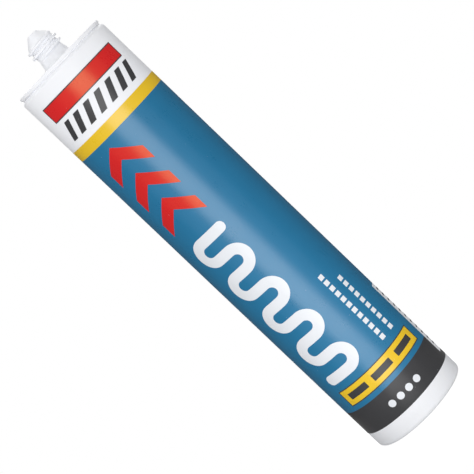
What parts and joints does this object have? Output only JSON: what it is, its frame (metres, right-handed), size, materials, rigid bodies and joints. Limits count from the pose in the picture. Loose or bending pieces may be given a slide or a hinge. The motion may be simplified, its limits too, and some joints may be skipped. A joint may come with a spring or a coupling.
{
  "type": "sealant cartridge",
  "caption": "Cylindrical sealant cartridge with a grooved head, a threaded nozzle neck with a closed tip, a printed barrel and a sliding piston in the open end.",
  "frame": {"origin": "centre of the barrel's open end, on the surface it stands on", "axes": "+Z along the barrel to the nozzle neck, -Y out of the middle of the print, +X to the right of a person who reads it"},
  "size_m": [0.0486, 0.0487, 0.232],
  "materials": {
    "barrel_plastic": "moulded white polyethylene with a satin sheen",
    "piston_plastic": "moulded natural white polyethylene, waxy",
    "paste": "smooth white paste, not cured",
    "ink_blue": "screen-printed ink, satin",
    "ink_yellow": "screen-printed ink, satin",
    "ink_red": "screen-printed ink, satin",
    "ink_dark": "screen-printed ink, satin",
    "ink_white": "screen-printed ink, satin"
  },
  "bodies": {
    "barrel": {"barrel": "barrel_plastic", "sealant": "paste", "print_blue": "ink_blue", "print_yellow": "ink_yellow", "print_red": "ink_red", "print_dark": "ink_dark", "print_white": "ink_white"},
    "piston": {"piston": "piston_plastic"}
  },
  "joints": [
    {"name": "piston_slide", "type": "slide", "parent": "barrel", "child": "piston", "axis": [0, 0, 1], "range_m": [0, 0.1854], "deforming": ["sealant"]}
  ]
}
